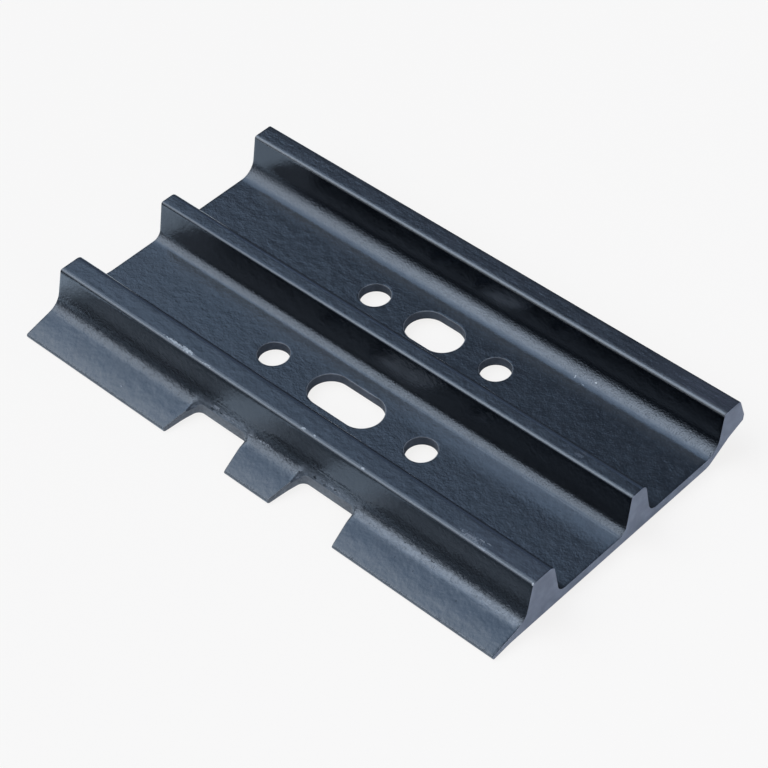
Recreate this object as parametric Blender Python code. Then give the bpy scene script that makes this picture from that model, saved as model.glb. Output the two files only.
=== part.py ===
# Excavator track shoe: one length of hot-rolled triple-grouser section, cropped at both ends, with
# four bolt holes and two mud slots punched through the plate and two notches punched in the lip.
# +X runs along the grousers, +Y from the leading lip to the trailing edge, and +Z is the ground side.
# The origin lies on the link face, halfway along the shoe and halfway between the two bolt rows.
import bpy
import bmesh
from math import ceil, cos, pi, radians, sin, sqrt, tan
from mathutils import Vector

# The rolled section, measured across the grousers
SHOE_LENGTH = 0.300
PLATE_THICKNESS = 0.0050

# Front grouser, next to the lip: the thickest of the three
FRONT_GROUSER_ADVANCE = 0.0638
FRONT_CREST_WIDTH = 0.0137
FRONT_GROUSER_HEIGHT = 0.0203
FRONT_LEADING_DRAFT = radians(14.5)
FRONT_TRAILING_DRAFT = radians(9.5)
FRONT_LEADING_ROOT_RADIUS = 0.0100
FRONT_TRAILING_ROOT_RADIUS = 0.0052

# Middle grouser, standing over the link centre line
MIDDLE_CREST_WIDTH = 0.0098
MIDDLE_GROUSER_HEIGHT = 0.0203
MIDDLE_LEADING_DRAFT = radians(11.0)
MIDDLE_TRAILING_DRAFT = radians(9.5)
MIDDLE_LEADING_ROOT_RADIUS = 0.0052
MIDDLE_TRAILING_ROOT_RADIUS = 0.0060

# Rear grouser, standing on the raised trailing edge
REAR_GROUSER_SETBACK = 0.0661
REAR_CREST_WIDTH = 0.0113
REAR_GROUSER_HEIGHT = 0.0211
REAR_LEADING_DRAFT = radians(11.0)
REAR_LEADING_ROOT_RADIUS = 0.0092

# Crest edges: close to square on the leading side, well rounded on the trailing side
LEADING_CREST_RADIUS = 0.0015
TRAILING_CREST_RADIUS = 0.0036
REAR_TRAILING_CREST_RADIUS = 0.0018

# Leading lip: it thins and dips towards its tip, so that it slides under the shoe ahead
LIP_LENGTH = 0.02135
LIP_ROOT_RISE = 0.0016
LIP_TIP_THICKNESS = 0.0024
LIP_TIP_DIP = 0.00135
LIP_TIP_RADIUS = 0.0011
LIP_BEND_RUN = 0.0110
LIP_BEND_RADIUS = 0.0300

# Trailing edge: the underside climbs in two slopes to make room for the next shoe's lip
TRAIL_OVERHANG = 0.0036
TRAIL_NOSE_HEIGHT = 0.0152
TRAIL_NOSE_RADIUS = 0.0016
TRAIL_FOOT_INSET = 0.0005
TRAIL_FOOT_HEIGHT = 0.0118
TRAIL_FOOT_RADIUS = 0.0006
RAMP_RUN = 0.0246
RAMP_START_RADIUS = 0.0100
KNEE_RUN = 0.0101
KNEE_HEIGHT = 0.0083
KNEE_RADIUS = 0.0100

# The shear that cropped the left end pushed it out a little, from the front grouser to the lip
LEFT_CROP_SWELL = 0.0012
LEFT_CROP_SWELL_RUN = 0.0120

# Bolt pattern and mud slots
BOLT_ROW_SPACING = 0.0611
FRONT_BOLT_SPACING = 0.0953
REAR_BOLT_SPACING = 0.0779
BOLT_HOLE_DIAMETER = 0.0156
FRONT_SLOT_LENGTH = 0.0425
REAR_SLOT_LENGTH = 0.0319
SLOT_WIDTH = 0.0213
ROLLOVER_RADIUS = 0.0007

# Link-clearance notches in the lip
NOTCH_SPACING = 0.0686
NOTCH_BACK_WIDTH = 0.0333
NOTCH_SIDE_SLANT = radians(10.2)
NOTCH_CORNER_RADIUS = 0.0040
NOTCH_ROOT_GAP = 0.0015

# Facets: the largest turn between two neighbouring flats of an arc
SECTION_FACET_TURN = radians(6.0)
PUNCH_FACET_TURN = radians(7.5)
ROLLOVER_STEPS = 4

# How far every cutter stands clear of the steel that it cuts
CUTTER_OVERRUN = 0.0040

# Edges that turn more than this stay sharp in the shading
SHARP_EDGE_ANGLE = radians(30)

PAINT_COLOUR = (0.022, 0.028, 0.038, 1.0)
PAINT_ROUGHNESS = 0.38


def clear_scene():
    for item in list(bpy.data.objects):
        bpy.data.objects.remove(item, do_unlink=True)


def arc_points(centre, radius, start, turn, largest_turn):
    # Points along an arc, both ends included.
    steps = max(1, ceil(abs(turn) / largest_turn))
    angles = [start + turn * step / steps for step in range(steps + 1)]
    return [centre + Vector((cos(angle), sin(angle))) * radius for angle in angles]


def rounded_outline(corners, largest_turn):
    # A closed outline through (point, radius) corners, each corner replaced by its tangent arc.
    # A radius that its two sides have no room for is cut back to what they can hold.
    outline = []
    for index, (corner, radius) in enumerate(corners):
        before = corners[index - 1][0] - corner
        after = corners[(index + 1) % len(corners)][0] - corner
        half_angle = before.angle(after) / 2
        room = min(before.length, after.length) / 2
        fitted_radius = min(radius, room * tan(half_angle))
        if not fitted_radius:
            outline.append(corner)
            continue
        bisector = (before.normalized() + after.normalized()).normalized()
        centre = corner + bisector * fitted_radius / sin(half_angle)
        first = corner + before.normalized() * fitted_radius / tan(half_angle) - centre
        last = corner + after.normalized() * fitted_radius / tan(half_angle) - centre
        turn = -first.angle_signed(last)
        start = -Vector((1, 0)).angle_signed(first)
        outline += arc_points(centre, fitted_radius, start, turn, largest_turn)
    return outline


def grouser_corners(crest_y, crest_width, crest_z, trailing, leading):
    # Crest and root corners of one grouser, from its trailing root round to its leading root.
    # trailing and leading each give the flank's draft, its root's height and the root's radius.
    trailing_draft, trailing_root_z, trailing_root_radius = trailing
    leading_draft, leading_root_z, leading_root_radius = leading
    trailing_crest_y = crest_y + crest_width / 2
    leading_crest_y = crest_y - crest_width / 2
    trailing_root_y = trailing_crest_y + (crest_z - trailing_root_z) * tan(trailing_draft)
    leading_root_y = leading_crest_y - (crest_z - leading_root_z) * tan(leading_draft)
    return [
        (Vector((trailing_root_y, trailing_root_z)), trailing_root_radius),
        (Vector((trailing_crest_y, crest_z)), TRAILING_CREST_RADIUS),
        (Vector((leading_crest_y, crest_z)), LEADING_CREST_RADIUS),
        (Vector((leading_root_y, leading_root_z)), leading_root_radius),
    ]


def front_grouser_corners():
    trailing = (FRONT_TRAILING_DRAFT, PLATE_THICKNESS, FRONT_TRAILING_ROOT_RADIUS)
    leading = (FRONT_LEADING_DRAFT, PLATE_THICKNESS + LIP_ROOT_RISE, FRONT_LEADING_ROOT_RADIUS)
    crest_z = PLATE_THICKNESS + FRONT_GROUSER_HEIGHT
    return grouser_corners(-FRONT_GROUSER_ADVANCE, FRONT_CREST_WIDTH, crest_z, trailing, leading)


def middle_grouser_corners():
    trailing = (MIDDLE_TRAILING_DRAFT, PLATE_THICKNESS, MIDDLE_TRAILING_ROOT_RADIUS)
    leading = (MIDDLE_LEADING_DRAFT, PLATE_THICKNESS, MIDDLE_LEADING_ROOT_RADIUS)
    crest_z = PLATE_THICKNESS + MIDDLE_GROUSER_HEIGHT
    return grouser_corners(0, MIDDLE_CREST_WIDTH, crest_z, trailing, leading)


def rear_grouser_corners():
    # The trailing flank leans back from the crest to the trailing edge's nose.
    crest_z = PLATE_THICKNESS + REAR_GROUSER_HEIGHT
    trailing_crest_y = REAR_GROUSER_SETBACK + REAR_CREST_WIDTH / 2
    leading_crest_y = REAR_GROUSER_SETBACK - REAR_CREST_WIDTH / 2
    root_y = leading_crest_y - REAR_GROUSER_HEIGHT * tan(REAR_LEADING_DRAFT)
    return [
        (Vector((trailing_crest_y + TRAIL_OVERHANG, TRAIL_NOSE_HEIGHT)), TRAIL_NOSE_RADIUS),
        (Vector((trailing_crest_y, crest_z)), REAR_TRAILING_CREST_RADIUS),
        (Vector((leading_crest_y, crest_z)), LEADING_CREST_RADIUS),
        (Vector((root_y, PLATE_THICKNESS)), REAR_LEADING_ROOT_RADIUS),
    ]


def lip_root_y():
    return front_grouser_corners()[-1][0].x


def lip_tip_y():
    return lip_root_y() - LIP_LENGTH


def trail_foot_y():
    return rear_grouser_corners()[0][0].x - TRAIL_FOOT_INSET


def section_corners():
    # Corners of the rolled section in (y, z), anticlockwise from the lip's tip along the underside.
    underside = [
        (Vector((lip_tip_y(), -LIP_TIP_DIP)), LIP_TIP_RADIUS),
        (Vector((lip_tip_y() + LIP_BEND_RUN, 0)), LIP_BEND_RADIUS),
        (Vector((trail_foot_y() - RAMP_RUN, 0)), RAMP_START_RADIUS),
        (Vector((trail_foot_y() - KNEE_RUN, KNEE_HEIGHT)), KNEE_RADIUS),
        (Vector((trail_foot_y(), TRAIL_FOOT_HEIGHT)), TRAIL_FOOT_RADIUS),
    ]
    grousers = rear_grouser_corners() + middle_grouser_corners() + front_grouser_corners()
    lip_top = [(Vector((lip_tip_y(), LIP_TIP_THICKNESS - LIP_TIP_DIP)), LIP_TIP_RADIUS)]
    return underside + grousers + lip_top


def object_from_bmesh(name, shape):
    bmesh.ops.recalc_face_normals(shape, faces=shape.faces)
    mesh = bpy.data.meshes.new(name)
    shape.to_mesh(mesh)
    shape.free()
    item = bpy.data.objects.new(name, mesh)
    bpy.context.scene.collection.objects.link(item)
    return item


def lofted_object(name, rings):
    # A closed solid through rings of equally many points, capped at the first and the last ring.
    shape = bmesh.new()
    loops = [[shape.verts.new(point) for point in ring] for ring in rings]
    for lower, upper in zip(loops, loops[1:]):
        for index in range(len(lower)):
            side = (lower[index - 1], lower[index], upper[index], upper[index - 1])
            shape.faces.new(side)
    shape.faces.new(loops[0])
    shape.faces.new(loops[-1])
    return object_from_bmesh(name, shape)


def left_end_x(y):
    # The swell starts in the front channel, grows towards the front grouser and stays full to the lip.
    swell_start_y = front_grouser_corners()[0][0].x + LEFT_CROP_SWELL_RUN
    grown = min(1, max(0, (swell_start_y - y) / LEFT_CROP_SWELL_RUN))
    return -SHOE_LENGTH / 2 - LEFT_CROP_SWELL * grown


def rolled_section():
    outline = rounded_outline(section_corners(), SECTION_FACET_TURN)
    left_end = [(left_end_x(y), y, z) for y, z in outline]
    right_end = [(SHOE_LENGTH / 2, y, z) for y, z in outline]
    return lofted_object("track_shoe", [left_end, right_end])


def punch_outline(centre, length, width, growth):
    # A hole's outline seen from above: round, or with straight sides along X where it is longer.
    radius = width / 2 + growth
    straight = Vector((length - width, 0)) / 2
    right = arc_points(centre + straight, radius, -pi / 2, pi, PUNCH_FACET_TURN)
    left = arc_points(centre - straight, radius, pi / 2, pi, PUNCH_FACET_TURN)
    return right[:-1] + left[:-1] if length == width else right + left


def punch_cutter(name, centre, length, width):
    # The punch rolls the plate's upper rim over, so the cutter flares there by the rollover radius.
    levels = [(-CUTTER_OVERRUN, 0)]
    for step in range(ROLLOVER_STEPS + 1):
        climb = ROLLOVER_RADIUS * step / ROLLOVER_STEPS
        flare = ROLLOVER_RADIUS - sqrt(ROLLOVER_RADIUS ** 2 - climb ** 2)
        levels.append((PLATE_THICKNESS - ROLLOVER_RADIUS + climb, flare))
    levels.append((PLATE_THICKNESS + CUTTER_OVERRUN, ROLLOVER_RADIUS))
    rings = []
    for z, growth in levels:
        rings.append([(x, y, z) for x, y in punch_outline(centre, length, width, growth)])
    return lofted_object(name, rings)


def notch_cutter(name, centre_x):
    # A tapered slot open to the lip's tip, rounded in its two back corners.
    back_y = lip_root_y() - NOTCH_ROOT_GAP
    mouth_y = lip_tip_y() - CUTTER_OVERRUN
    back_half = NOTCH_BACK_WIDTH / 2
    mouth_half = back_half + (back_y - mouth_y) * tan(NOTCH_SIDE_SLANT)
    corners = [
        (Vector((centre_x - mouth_half, mouth_y)), 0),
        (Vector((centre_x + mouth_half, mouth_y)), 0),
        (Vector((centre_x + back_half, back_y)), NOTCH_CORNER_RADIUS),
        (Vector((centre_x - back_half, back_y)), NOTCH_CORNER_RADIUS),
    ]
    outline = rounded_outline(corners, PUNCH_FACET_TURN)
    levels = (-LIP_TIP_DIP - CUTTER_OVERRUN, PLATE_THICKNESS + FRONT_LEADING_ROOT_RADIUS)
    return lofted_object(name, [[(x, y, z) for x, y in outline] for z in levels])


def all_cutters():
    row_y = BOLT_ROW_SPACING / 2
    cutters = []
    rows = (
        ("front", -row_y, FRONT_BOLT_SPACING, FRONT_SLOT_LENGTH),
        ("rear", row_y, REAR_BOLT_SPACING, REAR_SLOT_LENGTH),
    )
    for row, y, bolt_spacing, slot_length in rows:
        cutters.append(punch_cutter(f"{row}_slot_punch", Vector((0, y)), slot_length, SLOT_WIDTH))
        for side, x in (("left", -bolt_spacing / 2), ("right", bolt_spacing / 2)):
            name = f"{row}_{side}_bolt_punch"
            cutters.append(punch_cutter(name, Vector((x, y)), BOLT_HOLE_DIAMETER, BOLT_HOLE_DIAMETER))
    for side, x in (("left", -NOTCH_SPACING / 2), ("right", NOTCH_SPACING / 2)):
        cutters.append(notch_cutter(f"{side}_notch_punch", x))
    return cutters


def cut_with(body, cutters):
    for cutter in cutters:
        cutter.hide_render = True
        cutter.display_type = "WIRE"
        cut = body.modifiers.new(cutter.name, "BOOLEAN")
        cut.operation = "DIFFERENCE"
        cut.solver = "EXACT"
        cut.object = cutter


def black_paint():
    paint = bpy.data.materials.new("black_paint_on_steel")
    paint.use_nodes = True
    shader = paint.node_tree.nodes["Principled BSDF"]
    shader.inputs["Base Color"].default_value = PAINT_COLOUR
    shader.inputs["Roughness"].default_value = PAINT_ROUGHNESS
    shader.inputs["Metallic"].default_value = 0
    return paint


def build_track_shoe():
    clear_scene()
    shoe = rolled_section()
    cut_with(shoe, all_cutters())
    shoe.data.materials.append(black_paint())
    shoe.data.shade_smooth()
    shoe.data.set_sharp_from_angle(angle=SHARP_EDGE_ANGLE)


build_track_shoe()
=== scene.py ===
from math import atan, ceil, cos, pi, radians, sin, tan

import bmesh
import bpy
from mathutils import Matrix, Quaternion, Vector


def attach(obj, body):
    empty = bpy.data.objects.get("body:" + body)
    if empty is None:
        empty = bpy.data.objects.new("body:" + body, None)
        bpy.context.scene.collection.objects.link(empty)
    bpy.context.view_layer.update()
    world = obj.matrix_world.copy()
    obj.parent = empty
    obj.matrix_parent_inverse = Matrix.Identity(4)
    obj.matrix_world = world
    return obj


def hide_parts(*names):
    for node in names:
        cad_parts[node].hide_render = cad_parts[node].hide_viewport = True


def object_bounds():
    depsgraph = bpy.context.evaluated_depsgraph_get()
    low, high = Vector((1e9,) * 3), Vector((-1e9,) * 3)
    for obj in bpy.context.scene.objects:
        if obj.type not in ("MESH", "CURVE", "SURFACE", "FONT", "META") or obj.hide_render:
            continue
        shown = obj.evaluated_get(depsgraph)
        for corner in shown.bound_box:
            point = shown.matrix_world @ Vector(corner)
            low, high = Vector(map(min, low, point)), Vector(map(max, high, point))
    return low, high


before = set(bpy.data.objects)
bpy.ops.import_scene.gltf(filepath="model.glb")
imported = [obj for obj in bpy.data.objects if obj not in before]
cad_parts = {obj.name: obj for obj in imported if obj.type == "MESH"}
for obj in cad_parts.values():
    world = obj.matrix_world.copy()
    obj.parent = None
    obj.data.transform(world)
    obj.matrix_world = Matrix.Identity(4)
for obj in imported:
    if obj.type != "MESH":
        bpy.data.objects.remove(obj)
cadLow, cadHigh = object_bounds()
mm = 0.001
print("frame loaded", sorted(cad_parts))


# Node trees are written with these three helpers

def addNode(tree, kind, wires=None, **settings):
    node = tree.nodes.new(kind)
    for name, value in settings.items():
        setattr(node, name, value)
    for socket, value in (wires or {}).items():
        target = node.inputs[socket]
        if isinstance(value, bpy.types.NodeSocket):
            tree.links.new(value, target)
        else:
            target.default_value = value
    return node


def calc(tree, operation, *values):  # one Math node, its inputs in order
    wires = dict(enumerate(values))
    return addNode(tree, "ShaderNodeMath", wires, operation=operation).outputs[0]


def ramp(tree, value, fromLow, fromHigh, toLow=0.0, toHigh=1.0, smooth=True):
    wires = {"Value": value, "From Min": fromLow, "From Max": fromHigh, "To Min": toLow, "To Max": toHigh}
    kind = "SMOOTHSTEP" if smooth else "LINEAR"
    return addNode(tree, "ShaderNodeMapRange", wires, interpolation_type=kind).outputs[0]


# What is punched out of the bar

punches = {
    "rows": {
        "front": {"y": -30.55 * mm, "bolt gap": 95.3 * mm, "slot length": 42.5 * mm},
        "rear": {"y": 30.55 * mm, "bolt gap": 77.9 * mm, "slot length": 31.9 * mm},
    },
    "hole width": 15.6 * mm,
    "slot width": 21.3 * mm,
    "plate": 5.0 * mm,
    "rollover": 0.45 * mm,
    "burr edge": 0.3 * mm,
    "facets": 36,
    "overrun": 4.0 * mm,
    "rounded turn": 0.2,
}
notches = {
    "gap": 68.6 * mm,
    "back width": 33.3 * mm,
    "back y": -76.99 * mm,
    "slant": radians(10.2),
    "right fullness": 0.9 * mm,
    "corner radius": 4.0 * mm,
    "corner steps": 8,
    "edge softening": 0.45 * mm,
    "rollover": 2.6 * mm,
    "rollover y": (-84.0 * mm, -77.4 * mm),
    "straight pitch": 2.0 * mm,
    "growth step": 1.0 * mm,
    "skin y": -72.0 * mm,
    "skin turn": 0.2,
}


# Paint and steel

paint = {
    "colour": (0.0011, 0.0016, 0.0023, 1),
    "faded": (0.0024, 0.0033, 0.0046, 1),
    "streaked crest with sheen": (0.0205, 0.0235, 0.0305, 1),
    "bare edge with highlight": (0.090, 0.096, 0.102, 1),
    "tail sheen colour": (0.0245, 0.0330, 0.0500, 1),
    "fillet sheen": (0.110, 0.127, 0.152, 1),
    "tip wear": (0.085, 0.098, 0.115, 1),
    "chip": (0.36, 0.39, 0.42, 1),
    "scuff": (0.145, 0.160, 0.185, 1),
    "smudge": (0.045, 0.052, 0.066, 1),
    "pit": (0.0006, 0.0008, 0.0011, 1),
    "dust": (0.0160, 0.0180, 0.0220, 1),
    "cloud": (0.0068, 0.0078, 0.0100, 1),
    "right crest tint": (0.034, 0.036, 0.050, 1),
    "front crest tint share": 0.45,
    # crest wear is partly a painted sheen: its rear gain makes up for the darker shine of the smoother rear
    # crest
    "crest wear share": 0.56,
    "crest wear rear gain": 0.44,
    # wear on the crests' rounded edges, partly a painted highlight
    "edge wear share": 0.20,
    "edge wear rear gain": 0.75,
    "roughness": 0.21,
    "roughness swing": 0.04,
    "rear smoothness": 0.06,
    "sheen tint": (0.68, 0.81, 1.0, 1),
    "gloss": 1.0,
    "broad depth": 0.12 * mm,
    "wrinkle depth": 0.10 * mm,
    "grain depth": 0.014 * mm,
    "streak depth": 0.03 * mm,
    "pit depth": 0.25 * mm,
    # a patch of valley one without dust and cloud: a painted shade that darkens it
    "shade patch middle": (-25 * mm, -38 * mm, 5 * mm),
    "shade patch reach": (45 * mm, 14 * mm, 50 * mm),
    "shade patch edge": (1.0, 0.4),
}
# Noises in the paint: size of a cell, detail, roughness, distortion and stretch
paintNoises = {
    "tone": (55 * mm, 4, 0.5),
    "patch": (9.0 * mm, 3, 0.5),
    "broad": (5.0 * mm, 2, 0.5),
    "cloud": (3.2 * mm, 3, 0.6),
    "wrinkle": (1.9 * mm, 3, 0.55, 0.6),
    "smear": (1.5 * mm, 3, 0.6, 0, (0.35, 1, 1)),
    "streak": (1.3 * mm, 3, 0.6, 0, (0.10, 1, 1)),
    "speckle": (0.9 * mm, 2, 0.6),
    "grain": (0.85 * mm, 2, 0.5),
    "fleck": (0.75 * mm, 1, 0.5),
}
# How a noise is spread before it is used: its low and high end, and what they become if not 0 and 1
paintSpreads = {
    "tone": (0.35, 0.70),
    "cloud": (0.35, 0.65),
    "dust": (0.52, 0.70),
    "smear": (0.35, 0.65, 0.45, 1.0),
    "crest wear": (0.30, 0.62),
    "edge wear": (0.30, 0.60),
    "edge highlight spread": (0.20, 0.60, 0.5, 1.0),
    "patch": (0.30, 0.70),
    "mark": (0.94, 1.04),
}
# How much more of each bump a zone of the section has, or less where it is below zero
zoneGains = {
    "broad": {"lip": 2.2, "fillet": -0.60, "rear face": -0.55},
    "wrinkle": {
        "lip": -0.45, "valley": -0.50, "fillet": -0.85, "rear face": -0.55, "front crest": -0.40,
        "front fillet": 3.8, "front valley": 0.38,
    },
    "grain": {"fillet": 19.0, "valley": 1.8, "lip": -0.4, "front fillet": -12.0},
}
# Slow turns of the rolled surface that only its shine shows: where each runs along Y, and its height
shineTurns = {
    "lip dish": ((-75.5 * mm, -92.0 * mm), 1.2 * mm),
    "fillet turn": ((-78.0 * mm, -69.0 * mm), 0.38 * mm),
    "fillet neck": ((-76.7 * mm, -73.3 * mm), 0.36 * mm),
    "valley rise": ((-25.0 * mm, -12.3 * mm), 1.00 * mm),
    "valley crown": ((-7.4 * mm, -10.2 * mm), 0.36 * mm),
    "rear rise": ((48.0 * mm, 50.6 * mm), 0.09 * mm),
}
valleyRise = {"power": 2.0, "x": (-5 * mm, 85 * mm, 0.18, 1.0)}  # it bends up, and grows towards the right
# Painted highlight bands on the crests' leading edges: where each starts in y, how far back it is full and
# gone, and its share at the left
crestEdges = (
    (-69.9 * mm, 0.7 * mm, 1.7 * mm, 0.85),
    (-4.4 * mm, 0.6 * mm, 1.6 * mm, 0.0),
    (60.4 * mm, 0.9 * mm, 2.7 * mm, 0.75),
)
crestLead = 0.35 * mm
leftRun = (-85 * mm, 5 * mm)  # along X, where a share at the left grows to the whole
crestTails = (-59.2 * mm, 2.2 * mm)  # the rear rims of the front and middle crests, which carry a painted sheen
crestTailReach = (1.1 * mm, 0.4 * mm)
# Fillets with a painted sheen: begun and full in y, gone and still full in y, how strong the sheen is, and
# the share at the left
sheenedFillets = (
    ((-13.8 * mm, -12.4 * mm), (-6.8 * mm, -9.2 * mm), 0.20, 0.55),
    ((48.4 * mm, 52.6 * mm), (57.2 * mm, 54.4 * mm), 0.56, 0.22),
)
# Where each zone of the section begins and is full, along Y or up Z; the turns are shares of a unit normal
zoneRuns = {
    "lip y": (-74 * mm, -77 * mm),
    "valley y": (-53 * mm, -49 * mm),
    "valley z": (6.5 * mm, 5.2 * mm),
    "fillet z": (15 * mm, 11 * mm),
    "crest z": (24.45 * mm, 25.1 * mm),
    "tip y": (-96.1 * mm, -96.7 * mm),
    "front fillet y": (-69 * mm, -72 * mm),
    # the front fillet's painted sheen: where it begins and ends in y, and how it grows to the right
    "front sheen y": (-82.6 * mm, -79.4 * mm),
    "front sheen end y": (-76.8 * mm, -78.0 * mm),
    "front sheen x": (0 * mm, 85 * mm, 0.10, 1.0),
    "rear grouser y": (20 * mm, 50 * mm),
    "rear half y": (-2 * mm, 14 * mm),
    "front crest y": (-52 * mm, -56 * mm),
    "face z": (9 * mm, 13 * mm),
    "notch back x": (21.0 * mm, 17.6 * mm),
    "notch back y": (-85.5 * mm, -81.5 * mm),
    "notch back end y": (-74.2 * mm, -76.2 * mm, 0.0, 0.72),
    "right x": (92 * mm, 130 * mm),
    "turn away from top": (0.20, 0.45),
    "turn short of front": (0.9995, 0.96),
    "turn of crest": (0.25, 0.10),
}
# The noise that breaks up each kind of mark, in the order in which they are laid over each other
markNoises = {"smudge": "fleck", "scuff": "fleck", "pit": "speckle", "chip": "fleck"}
# Marks in the paint: place, reach each way (both in mm) and how much of the middle they cover
marks = {
    "chip": (
        ((-64.5, -68.8, 25.1), (8.5, 1.9, 1.3), 0.98), ((-72.0, -68.9, 25.1), (16.0, 1.7, 1.2), 0.78),
        ((-51.0, -69.6, 25.1), (8.0, 1.2, 1.0), 0.72), ((12.1, -69.2, 24.9), (2.0, 1.0, 1.0), 1.6),
        ((19.1, -69.2, 24.9), (1.4, 0.9, 0.9), 1.5), ((49.2, -69.4, 24.9), (1.6, 1.0, 1.0), 1.6),
        ((149.4, -70.3, 24.8), (1.0, 1.1, 1.0), 1.2), ((70.4, 51.0, 5.3), (0.6, 2.9, 1.2), 0.85),
        ((81.0, 53.5, 6.3), (1.6, 0.8, 1.0), 1.0),
    ),
    "scuff": (
        ((112.5, -68.2, 25.3), (13.0, 2.6, 0.9), 0.68), ((121.0, -69.6, 25.1), (7.0, 1.3, 0.9), 0.80),
        ((114.6, -68.0, 25.3), (2.3, 0.8, 0.8), 1.0), ((117.4, -66.5, 25.3), (2.8, 0.7, 0.8), 1.0),
        ((111.4, -67.6, 25.3), (2.2, 0.7, 0.8), 1.0), ((120.9, -66.1, 25.3), (2.0, 0.6, 0.8), 0.95),
        ((-40.0, -75.8, 8.8), (4.5, 1.5, 1.5), 0.95), ((-32.0, -76.0, 7.6), (26.0, 1.8, 3.0), 0.58),
        ((36.0, -76.0, 7.6), (24.0, 1.8, 3.0), 0.56), ((-8.0, -76.4, 7.6), (14.0, 1.7, 2.4), 0.60),
        ((76.4, 49.5, 5.0), (1.3, 0.6, 0.6), 1.1), ((78.0, 53.0, 6.0), (6.0, 2.6, 2.0), 0.52),
        ((-89.0, -91.5, 2.5), (1.5, 0.9, 1.5), 0.6),
        ((-62.7, -90.5, 2.7), (1.3, 0.8, 1.5), 0.6), ((149.8, -89.2, 2.2), (1.0, 1.2, 1.2), 1.1),
    ),
    "smudge": (
        ((116.2, -0.6, 25.3), (5.0, 1.7, 0.9), 1.0), ((117.0, 1.8, 25.3), (3.0, 1.2, 0.9), 0.8),
        ((113.0, -67.6, 25.3), (13.0, 3.0, 0.9), 0.95), ((78.0, 53.0, 6.0), (7.0, 3.0, 2.2), 0.9),
    ),
    "pit": (
        ((-86.8, -78.5, 6.3), (1.1, 0.8, 1.0), 0.9), ((93.4, -85.7, 3.9), (0.8, 0.6, 1.0), 0.9),
        ((105.0, -86.7, 3.7), (0.7, 0.6, 1.0), 0.9), ((118.9, -85.9, 3.9), (0.8, 0.6, 1.0), 0.9),
        ((82.1, -85.1, 4.1), (0.6, 0.5, 1.0), 0.8), ((91.3, -77.4, 7.0), (2.4, 0.5, 0.9), 0.85),
        ((98.0, -77.8, 6.8), (2.6, 0.5, 0.9), 0.95), ((81.0, -77.8, 6.8), (2.0, 0.5, 0.8), 0.75),
        ((-42.0, -76.3, 7.0), (2.4, 0.7, 3.0), 0.90), ((-36.5, -76.0, 7.4), (2.0, 0.6, 3.0), 0.85),
        ((24.5, -76.2, 7.2), (2.4, 0.7, 3.0), 0.90), ((30.8, -76.4, 7.0), (2.0, 0.6, 3.0), 0.85),
        ((37.0, -76.0, 7.4), (1.6, 0.6, 3.0), 0.80), ((-15.5, -77.2, 7.1), (2.4, 0.5, 0.9), 0.85),
        ((-5.5, -77.9, 6.6), (2.0, 0.6, 0.9), 0.95), ((16.0, -77.7, 6.8), (1.6, 0.5, 0.9), 0.85),
    ),
}
# Paint over cut steel: its dark and light colour, and the size of its mottle
cutLooks = {
    # the cropped ends: thin paint over sheared steel, made lighter still as painted light from the right
    "shearedAndLitPaint": ((0.220, 0.248, 0.310, 1), (0.288, 0.320, 0.396, 1), 7 * mm),
    "notchPaint": ((0.094, 0.106, 0.126, 1), (0.142, 0.158, 0.182, 1), 1.6 * mm),
    "punchedPaint": ((0.041, 0.054, 0.077, 1), (0.068, 0.087, 0.120, 1), 7 * mm),
    # painted highlight on the rounded rims of holes and slots
    "rimHighlightPaint": ((0.070, 0.080, 0.098, 1), (0.170, 0.190, 0.225, 1), 7 * mm),
}
cutSurface = {
    "roughness": 0.55,
    "mottle detail": 4,
    "mottle spread": (0.3, 0.7),
    "stria": (0.9 * mm, 3, 0.6, 0, (1, 1, 0.25)),
    "stria depth": 0.03 * mm,
}


def newMaterial(name):
    material = bpy.data.materials.new(name)
    material.use_nodes = True
    tree = material.node_tree
    shader = tree.nodes["Principled BSDF"]
    place = addNode(tree, "ShaderNodeTexCoord").outputs["Object"]
    return material, tree, shader, place


def noise(tree, place, size, detail=3.0, roughness=0.5, distortion=0.0, stretch=(1, 1, 1)):
    scaled = addNode(tree, "ShaderNodeMapping", {"Vector": place, "Scale": stretch}).outputs[0]
    wires = {"Vector": scaled, "Scale": 1 / size, "Detail": detail, "Roughness": roughness}
    return addNode(tree, "ShaderNodeTexNoise", {**wires, "Distortion": distortion}).outputs[0]


def blend(tree, amount, first, second):
    mix = addNode(tree, "ShaderNodeMix", {"Factor": amount}, data_type="RGBA")
    for socket, value in (("A", first), ("B", second)):
        target = [s for s in mix.inputs if s.name == socket and s.type == "RGBA"][0]
        if isinstance(value, bpy.types.NodeSocket):
            tree.links.new(value, target)
        else:
            target.default_value = value
    return [s for s in mix.outputs if s.type == "RGBA"][0]


def bump(tree, height, depth, before=None):
    wires = {"Height": height, "Distance": depth, "Strength": 1.0}
    if before is not None:
        wires["Normal"] = before
    return addNode(tree, "ShaderNodeBump", wires).outputs[0]


def markMask(tree, place, kind, speckle):  # 1 on the marks of a kind, broken up by a noise
    total = 0.0
    for centre, reach, cover in marks[kind]:
        wires = {0: place, 1: Vector(centre) * mm}
        offset = addNode(tree, "ShaderNodeVectorMath", wires, operation="SUBTRACT").outputs[0]
        wires = {0: offset, 1: Vector(reach) * mm}
        share = addNode(tree, "ShaderNodeVectorMath", wires, operation="DIVIDE").outputs[0]
        away = addNode(tree, "ShaderNodeVectorMath", {0: share}, operation="LENGTH").outputs["Value"]
        closeness = calc(tree, "MULTIPLY", calc(tree, "SUBTRACT", 1.0, away), cover)
        total = calc(tree, "MAXIMUM", closeness, total)
    return ramp(tree, calc(tree, "ADD", total, speckle), *paintSpreads["mark"])


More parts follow.
